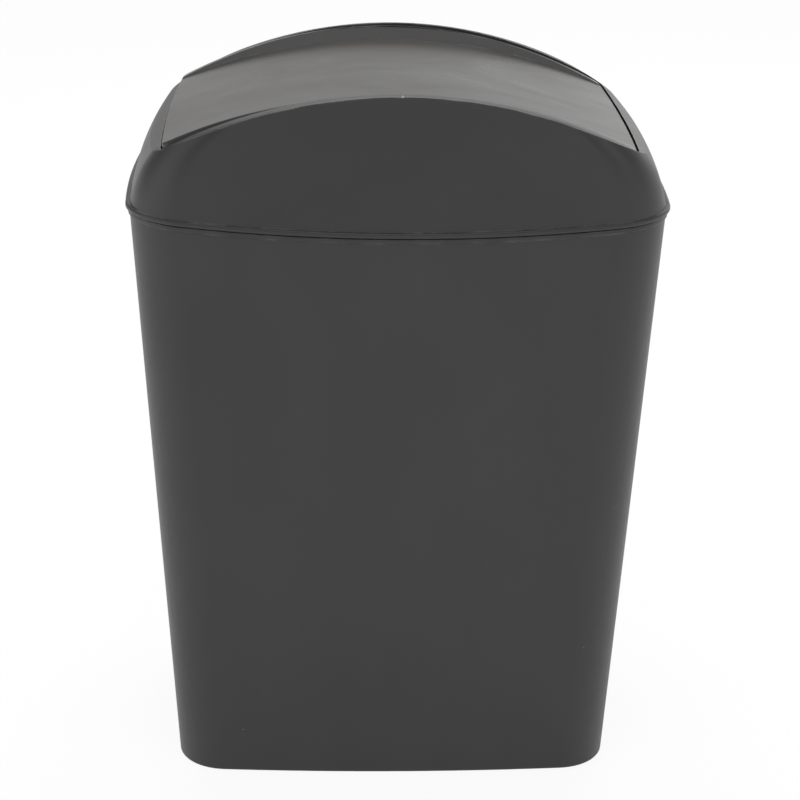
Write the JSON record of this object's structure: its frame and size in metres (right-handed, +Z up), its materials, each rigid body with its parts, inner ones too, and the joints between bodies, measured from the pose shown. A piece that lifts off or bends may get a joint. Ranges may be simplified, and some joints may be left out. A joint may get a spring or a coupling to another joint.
{
  "type": "swing-top trash can",
  "caption": "Tapered rectangular trash can with bowed sides, an arched lift-off hood and a balanced swing flap that tips either way.",
  "frame": {"origin": "middle of the flat base, on the floor", "axes": "+Z up, -Y towards the front, +X to the right seen from the front"},
  "size_m": [0.27, 0.2, 0.366],
  "materials": {
    "body_plastic": "dark grey satin injection-moulded polypropylene",
    "hood_plastic": "dark grey satin injection-moulded polypropylene",
    "flap_plastic": "dark grey satin injection-moulded polypropylene"
  },
  "bodies": {
    "bin": {"bin_body": "body_plastic"},
    "lid": {"hood": "hood_plastic"},
    "flap": {"swing_flap": "flap_plastic"}
  },
  "joints": [
    {"name": "hood_lift", "type": "slide", "parent": "bin", "child": "lid", "axis": [0, 0, 1], "range_m": [0, 0.1]},
    {"name": "flap_swing", "type": "hinge", "parent": "lid", "child": "flap", "pos_m": [0, 0, 0.3555], "axis": [0, 1, 0], "range_deg": [-80, 80]}
  ]
}
